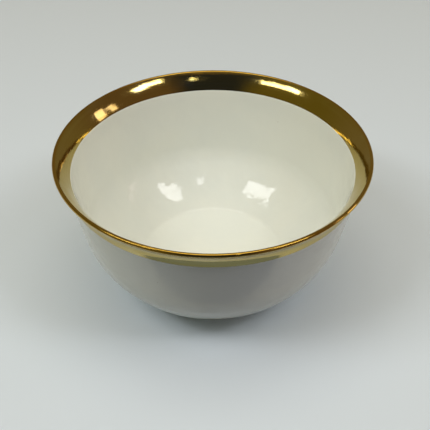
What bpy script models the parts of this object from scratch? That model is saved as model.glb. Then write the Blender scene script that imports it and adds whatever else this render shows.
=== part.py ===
"""A gilded porcelain serving bowl: a turned body, a luted foot ring and three linings of gold.

Metres, +Z up. The origin is the centre of the circle that the foot ring stands on.
Every piece is a closed profile in the (radius, height) plane, turned about Z by a Screw modifier.
A profile runs up the inner side, over the top and down the outer side.
"""
from math import acos, asin, atan2, cos, radians, sin, sqrt, tan

import bpy
from mathutils import Vector

# Driving dimensions
LIP_RADIUS = 0.1015            # outer radius of the lip, which makes it an eight inch bowl
HEIGHT = 0.1025                # from the resting face to the top of the lip
EDGE_RADIUS = 0.0013           # rounding of the lip's edge
WALL_TAPER = radians(11.8)     # lean of the straight wall from upright
WALL = 0.0043                  # thickness of the straight wall
BELLY_TOP = 0.0533             # height where the straight wall turns into the belly
BELLY_TOP_RADIUS = 0.0875      # outer radius of the wall at that height
BELLY_ARC = 0.0714             # radius of the belly's arc, outside
OUTER_FLARE_ARC = 0.0180       # radius of the hollow below the lip, outside
SHOULDER_ARC = 0.006           # radius of the shoulder below the inner band, where the wall turns out
FLARE_LEAN = radians(26)       # lean of the inside, from upright, just above the shoulder

TURN_HEIGHT = 0.0494           # height where the inside of the straight wall starts to turn inwards
TURN_ARC = 0.0313              # radius of that turn
SLOPE_TOP = radians(38)        # lean of the inside, from upright, where the turn ends
SLOPE_ARC = 0.127              # radius of the nearly straight slope below the turn
SLOPE_LOW = radians(53.4)      # lean of the slope at the edge of the floor
CORNER_ARC = 0.006             # radius of the corner round the floor
FLOOR_ARC = 0.450              # radius of the shallow dish of the inside floor

FOOT_RADIUS = 0.0493           # outer radius of the foot ring where it meets the belly
FOOT_INNER_RADIUS = 0.0430     # inner radius of the foot ring where it meets the body
FOOT_LEAN = 0.0010             # how much the foot's sides draw in towards the resting face
FOOT_ROUNDING = 0.0007         # rounded corners of the resting face
RECESS_RADIUS = 0.0415         # radius of the recess inside the foot ring, at its ceiling
RECESS_RIM = 0.0050            # height of the recess's ceiling at that radius
RECESS_CENTRE = 0.0056         # height of the recess's ceiling at its centre

INNER_BAND_LOW = 0.0912        # height of the inner gold band's lower edge
OUTER_BAND_LOW = 0.0875        # height of the outer gold band's lower edge
GOLD = 0.0004                  # thickness of the gold pieces, which lie flush in the glaze
GAP = 0.0003                   # gap between pieces that touch

SEGMENTS = 48                  # facets round the bowl
MERGE = 0.00001                # turned points closer together than this become one

# Places that follow from them, as (radius, height) vectors
OUTWARD = Vector((cos(WALL_TAPER), -sin(WALL_TAPER)))
LIP_CENTRE = Vector((LIP_RADIUS - EDGE_RADIUS, HEIGHT - EDGE_RADIUS))
WALL_FOOT = Vector((BELLY_TOP_RADIUS, BELLY_TOP))
BELLY_CENTRE = WALL_FOOT - OUTWARD * BELLY_ARC


def arc(centre, radius, start, end, steps):
    """Points on an arc from one angle to another, both ends included."""
    return [
        centre + radius * Vector((cos(a), sin(a)))
        for a in (start + (end - start) * i / steps for i in range(steps + 1))
    ]


def angle_to(centre, point):
    """Angle of a point seen from a centre."""
    return atan2(point.y - centre.y, point.x - centre.x)


def wall_point(height):
    """Point of the straight wall's outer face at a height."""
    return Vector((BELLY_TOP_RADIUS + (height - BELLY_TOP) * tan(WALL_TAPER), height))


def outer_flare_centre():
    """Centre of the hollow below the lip, which touches the straight wall and the lip's edge."""
    along = Vector((sin(WALL_TAPER), cos(WALL_TAPER)))
    base = WALL_FOOT + OUTWARD * OUTER_FLARE_ARC
    to_lip = LIP_CENTRE - base
    middle = to_lip.dot(along)
    off = to_lip.dot(OUTWARD)
    return base + along * (middle - sqrt((OUTER_FLARE_ARC + EDGE_RADIUS) ** 2 - off ** 2))


def shoulder_centre():
    """Centre of the shoulder, which touches the inside of the wall and ends below the inner band."""
    height = INNER_BAND_LOW - GAP - SHOULDER_ARC * sin(FLARE_LEAN)
    touch = wall_point(height + SHOULDER_ARC * sin(WALL_TAPER)) - Vector((WALL / cos(WALL_TAPER), 0.0))
    return touch + OUTWARD * SHOULDER_ARC


def inner_flare():
    """Centre and radius of the arc that leaves the shoulder and rolls into the lip's edge."""
    lean = Vector((cos(FLARE_LEAN), -sin(FLARE_LEAN)))
    start = SHOULDER - lean * SHOULDER_ARC
    to_lip = LIP_CENTRE - start
    radius = (to_lip.length_squared - EDGE_RADIUS ** 2) / (2 * (to_lip.dot(lean) - EDGE_RADIUS))
    return start + lean * radius, radius


OUTER_FLARE = outer_flare_centre()
SHOULDER = shoulder_centre()
INNER_FLARE, INNER_FLARE_ARC = inner_flare()
WALL_END = radians(180) - WALL_TAPER       # where the flare and the shoulder leave the straight wall
SHOULDER_END = radians(180) - FLARE_LEAN   # where the shoulder turns into the flare


def arc_down(start, radius, lean, end, steps):
    """Arc that goes on smoothly from a point, from one lean of the surface to another."""
    centre = start - radius * Vector((cos(lean), -sin(lean)))
    return arc(centre, radius, -lean, -end, steps)


def inside_below_wall():
    """Inside of the bowl from the floor's centre to the foot of the straight wall."""
    wall_end = wall_point(TURN_HEIGHT) - Vector((WALL / cos(WALL_TAPER), 0.0))
    turn = arc_down(wall_end, TURN_ARC, WALL_TAPER, SLOPE_TOP, steps=5)
    slope = arc_down(turn[-1], SLOPE_ARC, SLOPE_TOP, SLOPE_LOW, steps=4)
    corner_reach = slope[-1].x - CORNER_ARC * cos(SLOPE_LOW)
    floor_lean = acos(corner_reach / (FLOOR_ARC - CORNER_ARC))
    corner = arc_down(slope[-1], CORNER_ARC, SLOPE_LOW, floor_lean, steps=3)
    floor = arc_down(corner[-1], FLOOR_ARC, floor_lean, radians(90), steps=5)
    floor[-1].x = 0.0
    return (turn + slope[1:] + corner[1:] + floor[1:])[::-1]


def inner_flare_angle(height):
    """Where the inner flare reaches a height."""
    return radians(180) - asin((height - INNER_FLARE.y) / INNER_FLARE_ARC)


def gilded_surface(depth, trim, low):
    """Inner band from a low edge up, lip's edge, and outer band down to the straight wall.

    They lie at a depth below the surface. The trim is what each stretch gives up where it meets
    the next, measured on the surface.
    """
    inner_touch = angle_to(INNER_FLARE, LIP_CENTRE)
    outer_touch = angle_to(LIP_CENTRE, OUTER_FLARE)
    inner = arc(
        INNER_FLARE, INNER_FLARE_ARC - depth,
        inner_flare_angle(low), inner_touch + trim / INNER_FLARE_ARC, steps=7,
    )
    edge = arc(
        LIP_CENTRE, EDGE_RADIUS - depth,
        inner_touch - trim / EDGE_RADIUS, outer_touch + trim / EDGE_RADIUS, steps=8,
    )
    outer = arc(
        OUTER_FLARE, OUTER_FLARE_ARC + depth,
        outer_touch + radians(180) + trim / OUTER_FLARE_ARC, WALL_END, steps=5,
    )
    return inner, edge, outer


def recess_point(radius):
    """Point of the gently domed ceiling of the recess inside the foot ring."""
    dome = (RECESS_CENTRE - RECESS_RIM) * (1 - (radius / RECESS_RADIUS) ** 2)
    return Vector((radius, RECESS_RIM + dome))


def body_profile():
    """The porcelain: inside, rebates for the gold, belly, seat of the foot and underside."""
    rebate = GOLD + GAP
    inner, edge, outer = gilded_surface(rebate, 0.0, INNER_BAND_LOW - GAP)
    shoulder = arc(SHOULDER, SHOULDER_ARC, WALL_END, SHOULDER_END, steps=3)
    outer_shoulder = wall_point(OUTER_BAND_LOW - GAP)
    down_outside = [outer_shoulder - OUTWARD * rebate, outer_shoulder]

    belly_end = -acos((FOOT_RADIUS - BELLY_CENTRE.x) / BELLY_ARC)
    belly = arc(BELLY_CENTRE, BELLY_ARC, -WALL_TAPER, belly_end, steps=9)
    seat = belly[-1].y
    underside = [Vector((FOOT_INNER_RADIUS, seat))]
    underside += [recess_point(radius) for radius in (RECESS_RADIUS, RECESS_RADIUS / 2, 0.0)]
    return (
        inside_below_wall() + shoulder + inner + edge[1:] + outer[1:] + down_outside
        + belly + underside
    ), seat


def foot_profile(seat):
    """The foot ring: up its inner side, across the luted joint and down to the resting face."""
    top = seat - GAP
    inside = FOOT_INNER_RADIUS + FOOT_LEAN
    outside = FOOT_RADIUS - FOOT_LEAN
    inner_corner = Vector((inside + FOOT_ROUNDING, FOOT_ROUNDING))
    outer_corner = Vector((outside - FOOT_ROUNDING, FOOT_ROUNDING))
    return (
        arc(inner_corner, FOOT_ROUNDING, radians(270), radians(180), steps=2)
        + [Vector((FOOT_INNER_RADIUS, top)), Vector((FOOT_RADIUS, top))]
        + arc(outer_corner, FOOT_ROUNDING, 0.0, radians(-90), steps=2)
    )


def band_profiles():
    """The three linings of gold, flush with the glaze and apart from each other."""
    trim = GAP / 2
    face = gilded_surface(0.0, trim, INNER_BAND_LOW)
    back = gilded_surface(GOLD, trim, INNER_BAND_LOW)
    outer_face = face[2] + [wall_point(OUTER_BAND_LOW)]
    outer_back = back[2] + [outer_face[-1] - OUTWARD * GOLD]
    return (
        face[0] + back[0][::-1],
        face[1] + back[1][::-1],
        outer_face + outer_back[::-1],
    )


def material(name, colour, roughness, metallic):
    """A Principled material of one finish."""
    made = bpy.data.materials.new(name)
    made.use_nodes = True
    shader = made.node_tree.nodes["Principled BSDF"]
    shader.inputs["Base Color"].default_value = (*colour, 1.0)
    shader.inputs["Roughness"].default_value = roughness
    shader.inputs["Metallic"].default_value = metallic
    return made


def turned(name, profile, finish, collection, closed=True):
    """Turns a profile about Z. A closed one makes a ring, an open one starts and ends on the axis."""
    count = len(profile)
    edges = [(i, (i + 1) % count) for i in range(count if closed else count - 1)]
    mesh = bpy.data.meshes.new(name)
    mesh.from_pydata([(p.x, 0.0, p.y) for p in profile], edges, [])
    mesh.materials.append(finish)
    piece = bpy.data.objects.new(name, mesh)
    collection.objects.link(piece)
    screw = piece.modifiers.new("turn", "SCREW")
    screw.steps = SEGMENTS
    screw.render_steps = SEGMENTS
    screw.use_merge_vertices = True
    screw.merge_threshold = MERGE
    screw.use_smooth_shade = True
    return piece


def main():
    for old in list(bpy.data.objects):
        bpy.data.objects.remove(old, do_unlink=True)
    bowl = bpy.data.collections.new("porcelain_serving_bowl")
    bpy.context.scene.collection.children.link(bowl)

    glaze = material("white_glaze", (0.80, 0.80, 0.74), 0.10, 0.0)
    foot_glaze = material("foot_porcelain", (0.78, 0.77, 0.71), 0.35, 0.0)
    inner_gold = material("inner_gold", (0.78, 0.58, 0.22), 0.12, 1.0)
    edge_gold = material("edge_gold", (0.72, 0.50, 0.18), 0.18, 1.0)
    outer_gold = material("outer_gold", (0.76, 0.57, 0.24), 0.16, 1.0)

    body, seat = body_profile()
    inner_band, edge_line, outer_band = band_profiles()
    turned("porcelain_body", body, glaze, bowl, closed=False)
    turned("foot_ring", foot_profile(seat), foot_glaze, bowl)
    turned("gold_band_inner", inner_band, inner_gold, bowl)
    turned("gold_rim", edge_line, edge_gold, bowl)
    turned("gold_band_outer", outer_band, outer_gold, bowl)


main()
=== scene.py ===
"""The looks of the gilded porcelain serving bowl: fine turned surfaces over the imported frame.

Metres, +Z up, the foot ring stands on z = 0. The outlines are (radius, height) vectors. They run from
the floor's centre up the inside, over the lip and down the outside, as in the CAD model.
"""
from math import acos, asin, atan2, cos, pi, radians, sin, sqrt, tan

import bpy
from mathutils import Matrix, Vector, noise


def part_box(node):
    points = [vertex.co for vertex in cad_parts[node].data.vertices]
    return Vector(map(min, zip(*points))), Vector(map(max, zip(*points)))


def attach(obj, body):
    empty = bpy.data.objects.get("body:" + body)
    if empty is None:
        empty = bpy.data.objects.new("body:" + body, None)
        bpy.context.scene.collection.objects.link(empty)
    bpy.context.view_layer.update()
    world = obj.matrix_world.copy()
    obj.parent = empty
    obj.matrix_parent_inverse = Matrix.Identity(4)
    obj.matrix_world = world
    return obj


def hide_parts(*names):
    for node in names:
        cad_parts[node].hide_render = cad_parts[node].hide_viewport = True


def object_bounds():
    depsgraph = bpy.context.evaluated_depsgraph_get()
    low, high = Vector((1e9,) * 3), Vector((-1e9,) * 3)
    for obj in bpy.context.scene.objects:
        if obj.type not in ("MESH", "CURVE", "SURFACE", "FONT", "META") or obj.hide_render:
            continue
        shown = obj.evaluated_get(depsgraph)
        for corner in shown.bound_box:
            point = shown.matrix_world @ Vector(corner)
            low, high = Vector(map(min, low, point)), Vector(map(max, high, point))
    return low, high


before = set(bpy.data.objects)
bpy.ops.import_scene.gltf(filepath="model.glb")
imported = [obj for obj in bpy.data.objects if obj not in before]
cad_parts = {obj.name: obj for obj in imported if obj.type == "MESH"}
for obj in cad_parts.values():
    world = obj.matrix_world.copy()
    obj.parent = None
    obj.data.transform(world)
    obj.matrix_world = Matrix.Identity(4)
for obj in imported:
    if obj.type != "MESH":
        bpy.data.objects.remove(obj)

cad_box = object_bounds()

# Sizes read from the frame
LIP_RADIUS = cad_box[1].x
HEIGHT = cad_box[1].z
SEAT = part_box("porcelain_body")[0].z
OUTER_BAND_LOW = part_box("gold_band_outer")[0].z
FOOT_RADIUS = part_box("foot_ring")[1].x

# The bowl's section, the same as the CAD model's
EDGE_RADIUS = 0.0013
WALL_TAPER = radians(11.8)
WALL = 0.0043
BELLY_TOP = 0.0533
BELLY_TOP_RADIUS = 0.0875
BELLY_ARC = 0.0714
OUTER_FLARE_ARC = 0.0180
SHOULDER_ARC = 0.006
FLARE_LEAN = radians(26)
TURN_HEIGHT = 0.0494
TURN_ARC = 0.0313
SLOPE_TOP = radians(38)
SLOPE_ARC = 0.127
SLOPE_LOW = radians(53.4)
CORNER_ARC = 0.006
FLOOR_ARC = 0.450
FOOT_INNER_RADIUS = 0.0430
FOOT_LEAN = 0.0010
RECESS_RADIUS = 0.0415
RECESS_RIM = 0.0050
RECESS_CENTRE = 0.0056
FOOT_ROUNDING = 0.0007
GOLD = 0.0004
GAP = 0.0003
INNER_BAND_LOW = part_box("gold_band_inner")[0].z + GOLD * sin(FLARE_LEAN)

# Finer features, which the CAD model leaves out or makes coarser
GLAZE_STEP = 0.00004           # how far the gold stands above the glaze beside it
GOLD_FILM = 0.00025            # thickness of the gold pieces
BURIED = 0.0001                # how far the glaze under the gold lies below the gold's face
BAND_WANDER = 0.00013          # how far the brushed lower edges stray
FOOT_FILLET = 0.0014           # glaze gathered in the corner between foot and belly
RECESS_FILLET = 0.0018         # glaze gathered round the recess's ceiling
FILLET_OVERLAP = 1.004         # the foot's fillet is drawn this much larger, so its ends sink in
FILLET_MEETS = 0.4             # part of the foot's lean at which the fillet meets its outer side
RECESS_FILLET_END = radians(88)  # just short of level, so the fillet ends below the ceiling
BURIED_OUTSIDE = 0.0006        # how far the foot reaches into the body at its outer side
BURIED_INSIDE = 0.0008         # how far it reaches above the rim of the recess's ceiling
GROUND_HEIGHT = 0.0006         # how far up the ground, unglazed porcelain shows
STRAIGHT_TOP = INNER_BAND_LOW - 0.0012  # top of the outer band's straight part, below the hollow
STRAIGHT_STEPS = 4             # steps of that straight part
SEGMENTS = 288                 # facets round the bowl
SHARP = radians(40)            # edges that turn more than this are shaded sharp
ON_AXIS = 1e-7                 # outline points nearer the axis than this lie on it

FLOOR_FRONT = -0.102           # the floor nearer the camera than this is in shade

OUTWARD = Vector((cos(WALL_TAPER), -sin(WALL_TAPER)))
UPWARD = Vector((sin(WALL_TAPER), cos(WALL_TAPER)))
LIP_CENTRE = Vector((LIP_RADIUS - EDGE_RADIUS, HEIGHT - EDGE_RADIUS))
WALL_FOOT = Vector((BELLY_TOP_RADIUS, BELLY_TOP))
BELLY_CENTRE = WALL_FOOT - OUTWARD * BELLY_ARC


def arc(centre, radius, start, end, steps):
    """Points on an arc from one angle to another, both ends included."""
    return [
        centre + radius * Vector((cos(a), sin(a)))
        for a in (start + (end - start) * i / steps for i in range(steps + 1))
    ]


def line(start, end, steps):
    """Points on a straight stretch, both ends included."""
    return [start.lerp(end, i / steps) for i in range(steps + 1)]


def angle_to(centre, point):
    """Angle of a point seen from a centre."""
    return atan2(point.y - centre.y, point.x - centre.x)


def wall_point(height, depth=0.0):
    """Point of the straight wall at a height, at a depth below its outer face."""
    radius = BELLY_TOP_RADIUS + (height - BELLY_TOP) * tan(WALL_TAPER) - depth / cos(WALL_TAPER)
    return Vector((radius, height))


def outer_flare_centre():
    """Centre of the hollow below the lip, which touches the straight wall and the lip's edge."""
    base = WALL_FOOT + OUTWARD * OUTER_FLARE_ARC
    to_lip = LIP_CENTRE - base
    off = to_lip.dot(OUTWARD)
    return base + UPWARD * (to_lip.dot(UPWARD) - sqrt((OUTER_FLARE_ARC + EDGE_RADIUS) ** 2 - off ** 2))


def shoulder_centre():
    """Centre of the shoulder, which touches the inside of the wall and ends below the inner band."""
    height = INNER_BAND_LOW - GAP - SHOULDER_ARC * sin(FLARE_LEAN)
    return wall_point(height + SHOULDER_ARC * sin(WALL_TAPER), WALL) + OUTWARD * SHOULDER_ARC


def inner_flare_circle():
    """Centre and radius of the arc that leaves the shoulder and rolls into the lip's edge."""
    lean = Vector((cos(FLARE_LEAN), -sin(FLARE_LEAN)))
    start = SHOULDER - lean * SHOULDER_ARC
    to_lip = LIP_CENTRE - start
    radius = (to_lip.length_squared - EDGE_RADIUS ** 2) / (2 * (to_lip.dot(lean) - EDGE_RADIUS))
    return start + lean * radius, radius


OUTER_FLARE = outer_flare_centre()
SHOULDER = shoulder_centre()
INNER_FLARE, INNER_FLARE_ARC = inner_flare_circle()
INNER_TOUCH = angle_to(INNER_FLARE, LIP_CENTRE)
OUTER_TOUCH = angle_to(LIP_CENTRE, OUTER_FLARE)
WALL_END = radians(180) - WALL_TAPER
SHOULDER_END = radians(180) - FLARE_LEAN
BAND_START = radians(180) - asin((INNER_BAND_LOW - INNER_FLARE.y) / INNER_FLARE_ARC)


def arc_down(start, radius, lean, end, steps):
    """Arc that goes on smoothly from a point, from one lean of the surface to another."""
    centre = start - radius * Vector((cos(lean), -sin(lean)))
    return arc(centre, radius, -lean, -end, steps)


def inside_below_wall():
    """Inside of the bowl from the floor's centre to the foot of the straight wall."""
    turn = arc_down(wall_point(TURN_HEIGHT, WALL), TURN_ARC, WALL_TAPER, SLOPE_TOP, 24)
    slope = arc_down(turn[-1], SLOPE_ARC, SLOPE_TOP, SLOPE_LOW, 20)
    corner_reach = slope[-1].x - CORNER_ARC * cos(SLOPE_LOW)
    floor_lean = acos(corner_reach / (FLOOR_ARC - CORNER_ARC))
    corner = arc_down(slope[-1], CORNER_ARC, SLOPE_LOW, floor_lean, 12)
    floor = arc_down(corner[-1], FLOOR_ARC, floor_lean, radians(90), 20)
    floor[-1].x = 0.0
    return (turn + slope[1:] + corner[1:] + floor[1:])[::-1]


def inner_flare(depth=0.0, start=BAND_START, end=INNER_TOUCH, steps=20):
    """Inside of the lip, or a face at a depth below it, from the inner band's lower edge up."""
    return arc(INNER_FLARE, INNER_FLARE_ARC - depth, start, end, steps)


def lip_edge(depth=0.0):
    """Rounded edge of the lip, or a face at a depth below it, from inside to outside."""
    return arc(LIP_CENTRE, EDGE_RADIUS - depth, INNER_TOUCH, OUTER_TOUCH, 20)


def outer_flare(depth=0.0):
    """Hollow below the lip, or a face at a depth below it, from the edge down to the wall."""
    return arc(OUTER_FLARE, OUTER_FLARE_ARC + depth, OUTER_TOUCH + radians(180), WALL_END, 16)


def belly_below(end):
    """Outside of the belly from the straight wall down to an angle."""
    return arc(BELLY_CENTRE, BELLY_ARC, -WALL_TAPER, end, 48)


def body_outline():
    """The porcelain body, open: it starts and ends on the axis and passes under the gold."""
    belly_end = -acos((FOOT_RADIUS - BELLY_CENTRE.x) / BELLY_ARC)
    inside = inside_below_wall()
    shoulder = arc(SHOULDER, SHOULDER_ARC - GLAZE_STEP, WALL_END, SHOULDER_END, 10)
    wall_inside = line(inside[-1], shoulder[0], 24)
    to_band = inner_flare(GLAZE_STEP, SHOULDER_END, BAND_START, 1)
    band_foot = wall_point(OUTER_BAND_LOW, GLAZE_STEP)
    ceiling = [
        Vector((radius, RECESS_RIM + (RECESS_CENTRE - RECESS_RIM) * (1 - (radius / RECESS_RADIUS) ** 2)))
        for radius in (RECESS_RADIUS * (12 - i) / 12 for i in range(13))
    ]
    return (
        inside + wall_inside[1:] + shoulder[1:] + to_band[1:]
        + inner_flare(BURIED) + lip_edge(BURIED)[1:] + outer_flare(BURIED)[1:]
        + [wall_point(OUTER_BAND_LOW, BURIED)]
        + line(band_foot, WALL_FOOT, 24) + belly_below(belly_end)[1:]
        + [Vector((FOOT_INNER_RADIUS, SEAT))] + ceiling
    )


def foot_outline():
    """The foot ring, closed: resting face, inner side, joint buried in the body, outer side."""
    inside = FOOT_INNER_RADIUS + FOOT_LEAN
    outside = FOOT_RADIUS - FOOT_LEAN
    inner_corner = Vector((inside + FOOT_ROUNDING, FOOT_ROUNDING))
    outer_corner = Vector((outside - FOOT_ROUNDING, FOOT_ROUNDING))
    fillet_centre_x = FOOT_RADIUS - FOOT_LEAN * FILLET_MEETS + FOOT_FILLET
    # The fillet touches the belly from below, so its centre lies its own radius outside that arc
    drop = sqrt((BELLY_ARC + FOOT_FILLET) ** 2 - (fillet_centre_x - BELLY_CENTRE.x) ** 2)
    fillet_centre = Vector((fillet_centre_x, BELLY_CENTRE.y - drop))
    touch = angle_to(fillet_centre, BELLY_CENTRE)
    fillet = arc(fillet_centre, FOOT_FILLET * FILLET_OVERLAP, touch, radians(180), 10)
    ceiling_centre = Vector((FOOT_INNER_RADIUS - RECESS_FILLET, RECESS_RIM - RECESS_FILLET))
    inner_fillet = arc(ceiling_centre, RECESS_FILLET, 0.0, RECESS_FILLET_END, 8)
    buried = [
        Vector((RECESS_RADIUS, RECESS_RIM + BURIED_INSIDE)),
        Vector((FOOT_RADIUS, SEAT + BURIED_OUTSIDE)),
    ]
    return (
        arc(inner_corner, FOOT_ROUNDING, radians(270), radians(180), 6)
        + inner_fillet
        + buried
        + fillet
        + arc(outer_corner, FOOT_ROUNDING, 0.0, radians(-90), 6)
    )


def turned(name, outline, finish, closed=False, wander=None):
    """Turns an outline about Z. A closed outline makes a ring, an open one starts and ends on the axis.

    The wander gives, for an outline point's index and a turn, how far it strays, as a vector.
    """
    vertices = []
    rows = []
    for index, point in enumerate(outline):
        if point.x < ON_AXIS:
            rows.append([len(vertices)] * SEGMENTS)
            vertices.append((0.0, 0.0, point.y))
            continue
        rows.append([len(vertices) + i for i in range(SEGMENTS)])
        for i in range(SEGMENTS):
            turn = 2 * pi * i / SEGMENTS
            place = point + wander(index, turn) if wander else point
            vertices.append((place.x * cos(turn), place.x * sin(turn), place.y))
    faces = []
    pairs = list(zip(rows, rows[1:] + rows[:1]))
    for lower, upper in pairs if closed else pairs[:-1]:
        for i in range(SEGMENTS):
            j = (i + 1) % SEGMENTS
            face = []
            for corner in (lower[i], lower[j], upper[j], upper[i]):
                if corner not in face:
                    face.append(corner)
            faces.append(face)
    mesh = bpy.data.meshes.new(name)
    mesh.from_pydata(vertices, [], faces)
    mesh.materials.append(finish)
    mesh.shade_smooth()
    mesh.set_sharp_from_angle(angle=SHARP)
    piece = bpy.data.objects.new(name, mesh)
    bpy.context.scene.collection.objects.link(piece)
    return piece


def stand_in(piece, cad_node):
    """Shows a piece in the place of a CAD node, on the one body."""
    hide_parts(cad_node)
    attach(piece, "root")


# ---- materials ----

# Sockets of the Mix node when it mixes colours
MIX_FACTOR, MIX_FIRST, MIX_SECOND, MIX_RESULT = 0, 6, 7, 2
SPECK_CORE = 0.6               # part of a speck's radius that is fully dark


def new_material(name, roughness, metallic=0.0):
    """A material with its node tree and its shader."""
    made = bpy.data.materials.new(name)
    made.use_nodes = True
    shader = made.node_tree.nodes["Principled BSDF"]
    shader.inputs["Roughness"].default_value = roughness
    shader.inputs["Metallic"].default_value = metallic
    return made, made.node_tree, shader


def node(tree, kind, **settings):
    """A new node of a kind, with these properties set."""
    made = tree.nodes.new(kind)
    for key, value in settings.items():
        setattr(made, key, value)
    return made


def place_of(tree, stretch):
    """The object's own coordinates in metres, scaled along each axis."""
    coordinates = node(tree, "ShaderNodeTexCoord")
    mapping = node(tree, "ShaderNodeMapping")
    mapping.inputs["Scale"].default_value = stretch
    tree.links.new(coordinates.outputs["Object"], mapping.inputs["Vector"])
    return mapping.outputs["Vector"]


def noise_of(tree, stretch, detail=2.0, roughness=0.5):
    """Noise with about as many patches to the metre along each axis as the stretch says."""
    made = node(tree, "ShaderNodeTexNoise")
    made.inputs["Scale"].default_value = 1.0
    made.inputs["Detail"].default_value = detail
    made.inputs["Roughness"].default_value = roughness
    tree.links.new(place_of(tree, stretch), made.inputs["Vector"])
    return made.outputs["Fac"]


def specks_of(tree, spacing, size):
    """Round specks: 1 inside a speck and 0 outside, one or none to a cell of the spacing."""
    cells = node(tree, "ShaderNodeTexVoronoi", feature="F1")
    cells.inputs["Scale"].default_value = 1.0
    tree.links.new(place_of(tree, (1 / spacing,) * 3), cells.inputs["Vector"])
    return mapped(tree, cells.outputs["Distance"], size / spacing * SPECK_CORE, size / spacing, 1.0, 0.0)


def mapped(tree, value, low, high, to_low, to_high):
    """A value moved smoothly from one range to another, and held at the ends."""
    made = node(tree, "ShaderNodeMapRange", interpolation_type="SMOOTHSTEP")
    made.inputs["From Min"].default_value = low
    made.inputs["From Max"].default_value = high
    made.inputs["To Min"].default_value = to_low
    made.inputs["To Max"].default_value = to_high
    tree.links.new(value, made.inputs["Value"])
    return made.outputs["Result"]


def mixed(tree, factor, first, second):
    """Colour between two, each a colour or a socket. The factor is a socket."""
    made = node(tree, "ShaderNodeMix", data_type="RGBA")
    tree.links.new(factor, made.inputs[MIX_FACTOR])
    for index, value in ((MIX_FIRST, first), (MIX_SECOND, second)):
        if isinstance(value, bpy.types.NodeSocket):
            tree.links.new(value, made.inputs[index])
        else:
            made.inputs[index].default_value = (*value, 1.0)
    return made.outputs[MIX_RESULT]


def calculated(tree, operation, first, second):
    """Arithmetic on two values, each a number or a socket."""
    made = node(tree, "ShaderNodeMath", operation=operation)
    for socket, value in zip(made.inputs, (first, second)):
        if isinstance(value, bpy.types.NodeSocket):
            tree.links.new(value, socket)
        else:
            socket.default_value = value
    return made.outputs["Value"]


def height_of(tree):
    """Height above the resting face."""
    split = node(tree, "ShaderNodeSeparateXYZ")
    tree.links.new(place_of(tree, (1.0, 1.0, 1.0)), split.inputs["Vector"])
    return split.outputs["Z"]


def bumped(tree, shader, height, distance):
    """Gives a shader small relief: a height of 1 stands this distance, in metres, above 0."""
    made = node(tree, "ShaderNodeBump")
    made.inputs["Strength"].default_value = 1.0
    made.inputs["Distance"].default_value = distance
    tree.links.new(height, made.inputs["Height"])
    tree.links.new(made.outputs["Normal"], shader.inputs["Normal"])


def glaze_material():
    """White glaze: faint clouding, a darker, cooler tone towards the bottom, slow waves, specks and pinholes.
    """
    made, tree, shader = new_material("white_glaze", 0.05)
    cloud = noise_of(tree, (28, 28, 28), detail=3.0)
    clouding = mapped(tree, cloud, 0.35, 0.65, 0.0, 1.0)
    colour = mixed(tree, clouding, (0.80, 0.825, 0.765), (0.775, 0.805, 0.755))
    # The glaze is darker and cooler towards the bottom, from 9.5 mm above the resting face down
    towards_bottom = mapped(tree, height_of(tree), 0.0035, 0.0095, 1.0, 0.0)
    colour = mixed(tree, calculated(tree, "MULTIPLY", towards_bottom, 0.5), colour, (0.72, 0.75, 0.72))
    speck = specks_of(tree, 0.017, 0.0004)
    colour = mixed(tree, calculated(tree, "MULTIPLY", speck, 0.55), colour, (0.30, 0.24, 0.17))
    tree.links.new(colour, shader.inputs["Base Color"])
    haze = noise_of(tree, (60, 60, 60), detail=4.0)
    tree.links.new(mapped(tree, haze, 0.3, 0.75, 0.04, 0.09), shader.inputs["Roughness"])
    waves = noise_of(tree, (75, 75, 75), detail=1.0)
    ripples = noise_of(tree, (230, 230, 230), detail=1.0)
    height = calculated(tree, "ADD", waves, calculated(tree, "MULTIPLY", ripples, 0.2))
    pinhole = specks_of(tree, 0.023, 0.0005)
    height = calculated(tree, "SUBTRACT", height, calculated(tree, "MULTIPLY", pinhole, 0.2))
    bumped(tree, shader, height, 0.00035)
    return made


def foot_material():
    """The foot: glazed on its sides, bare, ground and slightly stained on its resting face."""
    made, tree, shader = new_material("foot_porcelain", 0.3)
    ragged = calculated(tree, "MULTIPLY", noise_of(tree, (160, 160, 160), detail=3.0), 0.0007)
    edge = calculated(tree, "SUBTRACT", height_of(tree), ragged)
    bare = mapped(tree, edge, GROUND_HEIGHT - 0.0004, GROUND_HEIGHT - 0.0002, 1.0, 0.0)
    grain = noise_of(tree, (900, 900, 900), detail=3.0)
    stain = noise_of(tree, (55, 55, 55), detail=4.0)
    bisque = mixed(tree, mapped(tree, grain, 0.3, 0.7, 0.0, 1.0), (0.62, 0.58, 0.50), (0.70, 0.66, 0.58))
    bisque = mixed(tree, mapped(tree, stain, 0.52, 0.75, 0.0, 0.6), bisque, (0.42, 0.36, 0.28))
    colour = mixed(tree, bare, (0.79, 0.795, 0.75), bisque)
    tree.links.new(colour, shader.inputs["Base Color"])
    tree.links.new(mapped(tree, bare, 0.0, 1.0, 0.07, 0.75), shader.inputs["Roughness"])
    bumped(tree, shader, calculated(tree, "MULTIPLY", grain, bare), 0.00015)
    return made


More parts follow.
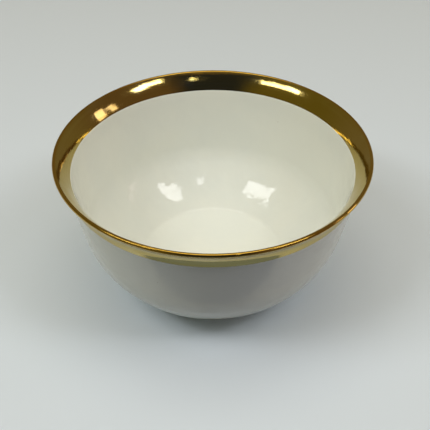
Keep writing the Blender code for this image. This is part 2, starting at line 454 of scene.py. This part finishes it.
def gold_material(name, colour, pale, deep, gloss):
    """Fired bright gold: strokes that run round the bowl, thin and thick patches, fine scratches."""
    made, tree, shader = new_material(name, gloss, 1.0)
    strokes = noise_of(tree, (14, 14, 2600), detail=2.0)
    patches = noise_of(tree, (45, 45, 120), detail=3.0)
    tone = mixed(tree, mapped(tree, strokes, 0.3, 0.7, 0.0, 1.0), colour, deep)
    tone = mixed(tree, mapped(tree, patches, 0.5, 0.8, 0.0, 0.7), tone, pale)
    tree.links.new(tone, shader.inputs["Base Color"])
    scuffs = noise_of(tree, (300, 300, 300), detail=5.0, roughness=0.7)
    wear = calculated(
        tree, "ADD",
        mapped(tree, strokes, 0.3, 0.75, gloss * 0.6, gloss * 1.3),
        mapped(tree, scuffs, 0.55, 0.75, 0.0, 0.10),
    )
    tree.links.new(wear, shader.inputs["Roughness"])
    brushing = calculated(tree, "MULTIPLY", strokes, 0.12)
    ridges = calculated(tree, "ADD", brushing, noise_of(tree, (90, 90, 90)))
    bumped(tree, shader, ridges, 0.00012)
    return made


glaze = glaze_material()
band_gold = gold_material("band_gold", (0.54, 0.42, 0.145), (0.58, 0.49, 0.24), (0.50, 0.37, 0.10), 0.09)
edge_gold = gold_material("edge_gold", (0.52, 0.34, 0.07), (0.56, 0.40, 0.13), (0.46, 0.29, 0.05), 0.12)

body = turned("bowl_porcelain", body_outline(), glaze)
stand_in(body, "porcelain_body")

foot = turned("foot_ring_porcelain", foot_outline(), foot_material(), closed=True)
stand_in(foot, "foot_ring")


# ---- gold ----

def brushed(indices, along, seed):
    """Wander of a brushed edge: these outline points stray along the surface, the others stay."""
    def wander(index, turn):
        if index not in indices:
            return Vector((0.0, 0.0))
        slow = noise.noise(Vector((2.2 * cos(turn), 2.2 * sin(turn), seed)))
        quick = noise.noise(Vector((9 * cos(turn), 9 * sin(turn), seed + 5)))
        return along * BAND_WANDER * (slow + 0.45 * quick)
    return wander


def inner_band_outline():
    """The inner gold band, closed: its face, then its back."""
    face = inner_flare()
    back = inner_flare(GOLD_FILM)
    return face + back[::-1]


def outer_band_outline():
    """The outer gold band, closed: its face, then its back."""
    straight = line(wall_point(STRAIGHT_TOP), wall_point(OUTER_BAND_LOW), STRAIGHT_STEPS)
    face = outer_flare() + straight
    back = outer_flare(GOLD_FILM) + [wall_point(OUTER_BAND_LOW, GOLD_FILM)]
    return face + back[::-1]


inner_outline = inner_band_outline()
along_flare = Vector((sin(FLARE_LEAN), cos(FLARE_LEAN)))
inner_edge = brushed((0, len(inner_outline) - 1), along_flare, 1.0)
inner_band = turned("inner_band_gold", inner_outline, band_gold, True, inner_edge)
stand_in(inner_band, "gold_band_inner")

edge = turned("edge_gold", lip_edge() + lip_edge(GOLD_FILM)[::-1], edge_gold, True)
stand_in(edge, "gold_rim")

outer_outline = outer_band_outline()
outer_low = len(outer_flare()) + STRAIGHT_STEPS
outer_edge = brushed((outer_low, outer_low + 1), UPWARD, 3.0)
outer_band = turned("outer_band_gold", outer_outline, band_gold, True, outer_edge)
stand_in(outer_band, "gold_band_outer")

# ---- camera, floor and light ----

SENSOR_WIDTH = 36.0            # millimetres
FOCAL_RATIO = 800 / 430        # focal length over the sensor's width
CAMERA_BACK = 4.1431           # distance in front of the bowl's axis, in lip radii
CAMERA_UP = 2.8739             # height above the centre of the lip's edge, in lip radii
CAMERA_TILT = (radians(50.61), radians(0.08), radians(-0.25))

camera_data = bpy.data.cameras.new("camera")
camera_data.sensor_width = SENSOR_WIDTH
camera_data.lens = SENSOR_WIDTH * FOCAL_RATIO
camera = bpy.data.objects.new("camera", camera_data)
camera.location = (0.0, -CAMERA_BACK * LIP_RADIUS, CAMERA_UP * LIP_RADIUS + LIP_CENTRE.y)
camera.rotation_euler = CAMERA_TILT
bpy.context.scene.collection.objects.link(camera)
bpy.context.scene.camera = camera

REACH = 3                      # how far the floor goes on from the bowl on each side

cloth, _, cloth_shader = new_material("floor", 0.95)
cloth_shader.inputs["Base Color"].default_value = (0.70, 0.78, 0.86, 1.0)
cloth_shader.inputs["Specular IOR Level"].default_value = 0.1


def floor_part(name, near, far):
    """A level part of the floor between two distances behind the bowl's axis."""
    corners = [(-REACH, near, 0), (REACH, near, 0), (REACH, far, 0), (-REACH, far, 0)]
    mesh = bpy.data.meshes.new(name)
    mesh.from_pydata(corners, [], [(0, 1, 2, 3)])
    mesh.materials.append(cloth)
    made = bpy.data.objects.new(name, mesh)
    bpy.context.scene.collection.objects.link(made)
    return made


floor_part("floor", FLOOR_FRONT, REACH)
# The floor in front is in shade, so no light bounces from there onto the bowl
shaded = floor_part("floor_in_front", -REACH, FLOOR_FRONT)
shaded.visible_diffuse = False
shaded.visible_glossy = False


# Radiance of the room in each direction
ROOM_FRONT = (0.028, 0.032, 0.050)
ROOM_LEFT = (0.17, 0.14, 0.035)
ROOM_RIGHT = (0.16, 0.105, 0.06)
ROOM_BACK = (0.21, 0.17, 0.09)
CEILING = (0.56, 0.39, 0.14)
SHADED_FLOOR = (0.25, 0.31, 0.40)

# Where one gives way to the next, along the direction's X, Y or Z
LEFT_TO_RIGHT = (-0.4, 0.4)
SIDES_TO_BACK = (0.0, 0.7)
MIDDLE_TO_SIDES = (0.25, 0.6)
FRONT_TO_SIDES = (-0.55, -0.15)
WALLS_TO_CEILING = (0.82, 0.94)
FLOOR_TO_WALLS = (-0.85, -0.45)


def room_light():
    """A dim warm room: brightest overhead, darkest in front."""
    world = bpy.data.worlds.new("room")
    world.use_nodes = True
    tree = world.node_tree
    background = tree.nodes["Background"]
    direction = node(tree, "ShaderNodeTexCoord")
    split = node(tree, "ShaderNodeSeparateXYZ")
    tree.links.new(direction.outputs["Generated"], split.inputs["Vector"])
    across, back, rise = (split.outputs[axis] for axis in "XYZ")
    sides = mixed(tree, mapped(tree, across, *LEFT_TO_RIGHT, 0.0, 1.0), ROOM_LEFT, ROOM_RIGHT)
    around = mixed(tree, mapped(tree, back, *SIDES_TO_BACK, 0.0, 1.0), sides, ROOM_BACK)
    beside = mapped(tree, calculated(tree, "ABSOLUTE", across, 0.0), *MIDDLE_TO_SIDES, 0.0, 1.0)
    behind = mapped(tree, back, *FRONT_TO_SIDES, 0.0, 1.0)
    not_front = calculated(tree, "MAXIMUM", behind, beside)
    walls = mixed(tree, not_front, ROOM_FRONT, around)
    colour = mixed(tree, mapped(tree, rise, *WALLS_TO_CEILING, 0.0, 1.0), walls, CEILING)
    colour = mixed(tree, mapped(tree, rise, *FLOOR_TO_WALLS, 1.0, 0.0), colour, SHADED_FLOOR)
    tree.links.new(colour, background.inputs["Color"])
    background.inputs["Strength"].default_value = 1.0
    bpy.context.scene.world = world


room_light()
bpy.context.scene.view_settings.view_transform = "Standard"


LAMP_AIM = Vector((0.0, 0.0, 0.06))  # the place in the bowl that the lamps face
LAMP_DISTANCE = 1.6            # how far from it they stand


def toward(turn, rise):
    """Direction by degrees: the turn is from the camera's side towards +X, the rise is from level."""
    turn, rise = radians(turn), radians(rise)
    return Vector((cos(rise) * sin(turn), -cos(rise) * cos(turn), sin(rise)))


def soft_lamp(name, first_end, second_end, breadth, glow, mirrored=True, colour=(1.0, 1.0, 1.0)):
    """A long soft lamp that faces the bowl, between two directions, with a breadth in degrees.

    The glow is its radiance. A lamp that is not mirrored lights the bowl but shows in none of its highlights.
    """
    first, second = toward(*first_end), toward(*second_end)
    middle = (first + second).normalized()
    along = (second - first).normalized()
    length = 2 * LAMP_DISTANCE * tan(first.angle(second) / 2)
    width = 2 * LAMP_DISTANCE * tan(radians(breadth) / 2)
    data = bpy.data.lights.new(name, "AREA")
    data.shape = "RECTANGLE"
    data.size = length
    data.size_y = width
    data.energy = glow * pi * length * width
    data.color = colour
    made = bpy.data.objects.new(name, data)
    made.visible_glossy = mirrored
    made.matrix_world = Matrix.LocRotScale(
        LAMP_AIM + middle * LAMP_DISTANCE,
        Matrix((along, middle.cross(along), middle)).transposed().to_quaternion(),
        None,
    )
    bpy.context.scene.collection.objects.link(made)


soft_lamp("lamp_left", (-46, 49), (-80, 40), 8, 6.5)
soft_lamp("fill_left", (-44, 58), (-82, 50), 18, 4.9, mirrored=False)
soft_lamp("lamp_right", (50, 53), (71, 41), 8, 6.5)
soft_lamp("fill_right", (48, 60), (76, 49), 18, 3.9, mirrored=False)
soft_lamp("lamp_front", (18, 48), (18, 54), 2, 6.0)
soft_lamp("window", (102, 27), (96, 13), 9, 2.6, colour=(1.0, 0.84, 0.78))
soft_lamp("window_beside", (92, 28), (84, 18), 6, 2.1, colour=(1.0, 0.82, 0.75))
soft_lamp("lamp_above", (0, 80), (180, 72), 40, 1.6, colour=(0.95, 1.0, 1.0))
soft_lamp("fill_above", (0, 58), (0, 78), 40, 0.85, mirrored=False, colour=(0.95, 1.0, 1.0))
